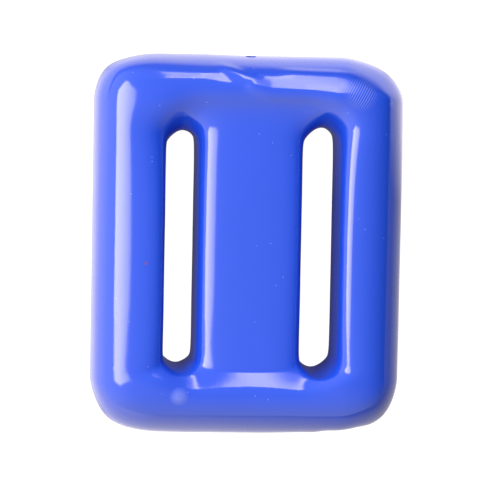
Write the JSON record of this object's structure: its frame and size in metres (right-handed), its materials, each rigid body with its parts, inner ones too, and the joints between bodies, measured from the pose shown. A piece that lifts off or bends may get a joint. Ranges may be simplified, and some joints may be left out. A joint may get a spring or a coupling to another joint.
{
  "type": "diving weight",
  "caption": "Vinyl-coated lead weight with rounded rims, belt slots through it and a sunken seat between them for a weight belt.",
  "frame": {"origin": "middle of the back face, at the bottom centre of the bounding box", "axes": "+Z out of the front face with the sunken belt seat, +Y along the slots towards the top end, which has the longer slot mouths and the hook hole, +X to the right seen from the front"},
  "size_m": [0.075, 0.0913, 0.0239],
  "materials": {
    "cast_lead": "dull as-cast lead",
    "blue_vinyl": "glossy dipped vinyl plastisol"
  },
  "bodies": {
    "root": {"lead_core": "cast_lead", "vinyl_coating": "blue_vinyl"}
  },
  "joints": []
}
